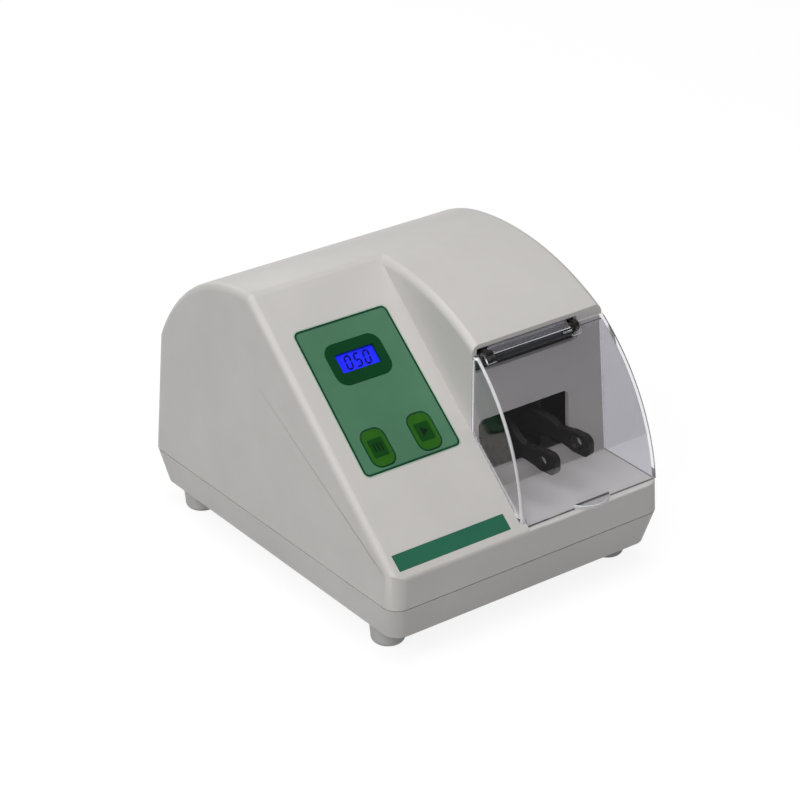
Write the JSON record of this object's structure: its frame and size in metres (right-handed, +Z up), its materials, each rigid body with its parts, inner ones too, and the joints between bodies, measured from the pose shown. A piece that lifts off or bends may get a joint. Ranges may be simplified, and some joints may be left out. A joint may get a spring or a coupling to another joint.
{
  "type": "dental amalgamator",
  "caption": "Bench-top capsule mixer with a sloping console, a hooded drive, a vibrating fork and a hinged clear cover over the mixing chamber.",
  "frame": {"origin": "middle of the footprint, on the surface that the feet stand on", "axes": "+X to the user's right, +Y towards the rear, +Z up; the front faces -Y"},
  "size_m": [0.184, 0.2356, 0.1615],
  "materials": {
    "case_white": "satin moulded",
    "foot_grey": "matt",
    "screw_steel": "zinc plated",
    "label_green": "printed film",
    "bezel_green": "printed film",
    "display_blue": "lit display",
    "strip_teal": "printed film",
    "board_green": "solder mask",
    "black_plastic": "moulded",
    "key_green": "printed film",
    "ribbon_grey": "flat cable",
    "core_iron": "laminated",
    "copper_wire": "enamelled",
    "capacitor_sleeve": "sleeved",
    "pin_brass": "plated",
    "steel": "ground",
    "hub_alloy": "machined",
    "arm_black": "moulded, fibre filled",
    "nylon_white": "moulded",
    "isolator_rubber": "matt",
    "brush_carbon": "carbon",
    "clear": "polished clear moulding",
    "rocker_red": "moulded"
  },
  "bodies": {
    "case": {"lower_tray": "case_white", "upper_housing": "case_white", "feet": "foot_grey", "foot_screws": "screw_steel", "case_screws": "screw_steel", "panel_overlay": "label_green", "lcd_bezel": "bezel_green", "lcd_module": "display_blue", "strip_label": "strip_teal", "display_board": "board_green", "board_screws": "screw_steel", "tact_switches": "black_plastic", "display_ribbon": "ribbon_grey", "main_board": "board_green", "transformer_core": "core_iron", "transformer_winding": "copper_wire", "capacitors": "capacitor_sleeve", "relay": "black_plastic", "power_inlet": "black_plastic", "inlet_pins": "pin_brass", "inlet_screws": "screw_steel", "rocker_bezel": "black_plastic", "hinge_bracket": "black_plastic", "hinge_pin": "steel", "hinge_washers": "nylon_white", "lid_sensor": "board_green", "motor_plate": "steel", "isolators": "isolator_rubber", "chassis_screws": "screw_steel", "motor_bracket": "steel", "motor_can": "steel", "motor_magnets": "core_iron", "motor_end_caps": "steel", "motor_bushes": "pin_brass", "brush_holders": "pin_brass", "brushes": "brush_carbon", "outboard_bracket": "steel", "outboard_outer_race": "steel", "torque_guide": "nylon_white"},
    "shaft": {"motor_shaft": "steel", "fan": "black_plastic", "armature_core": "core_iron", "armature_winding": "copper_wire", "commutator": "copper_wire", "outboard_inner_race": "steel", "skew_hub": "hub_alloy", "hub_inner_race": "steel", "hub_balls": "steel", "balance_weights": "steel"},
    "arm": {"hub_outer_race": "steel", "arm_hub": "hub_alloy", "fork_arm_left": "arm_black", "fork_arm_right": "arm_black", "arm_screws": "screw_steel"},
    "cover": {"clear_cover": "clear", "cover_magnet": "steel"},
    "set_key": {"set_key": "key_green"},
    "start_key": {"start_key": "key_green"},
    "rocker": {"power_rocker": "rocker_red"},
    "drawer": {"fuse_drawer": "black_plastic"}
  },
  "joints": [
    {"name": "shaft_spin", "type": "hinge", "parent": "case", "child": "shaft", "pos_m": [0, -0.024, 0.0797], "axis": [1, 0, 0], "continuous": true},
    {"name": "arm_wobble", "type": "hinge", "parent": "shaft", "child": "arm", "pos_m": [0.032, -0.024, 0.0797], "axis": [0.9925, 0.1095, 0.0534], "continuous": true},
    {"name": "cover_hinge", "type": "hinge", "parent": "case", "child": "cover", "pos_m": [0.04, -0.0657, 0.13362], "axis": [-1, 0, 0], "range_deg": [0, 110]},
    {"name": "set_key_press", "type": "slide", "parent": "case", "child": "set_key", "axis": [0, 0.6293, -0.7771], "range_m": [0, 0.0006], "stiffness_N_per_m": 2000},
    {"name": "start_key_press", "type": "slide", "parent": "case", "child": "start_key", "axis": [0, 0.6293, -0.7771], "range_m": [0, 0.0006], "stiffness_N_per_m": 2000},
    {"name": "power_switch", "type": "hinge", "parent": "case", "child": "rocker", "pos_m": [0.01, 0.10849, 0.06521], "axis": [-1, 0, 0], "range_deg": [0, 24]},
    {"name": "fuse_drawer_slide", "type": "slide", "parent": "case", "child": "drawer", "axis": [0, 0.9987, 0.0506], "range_m": [0, 0.016]}
  ],
  "couplings": [
    {"joint": "arm_wobble", "follows": "shaft_spin", "ratio": -1}
  ]
}
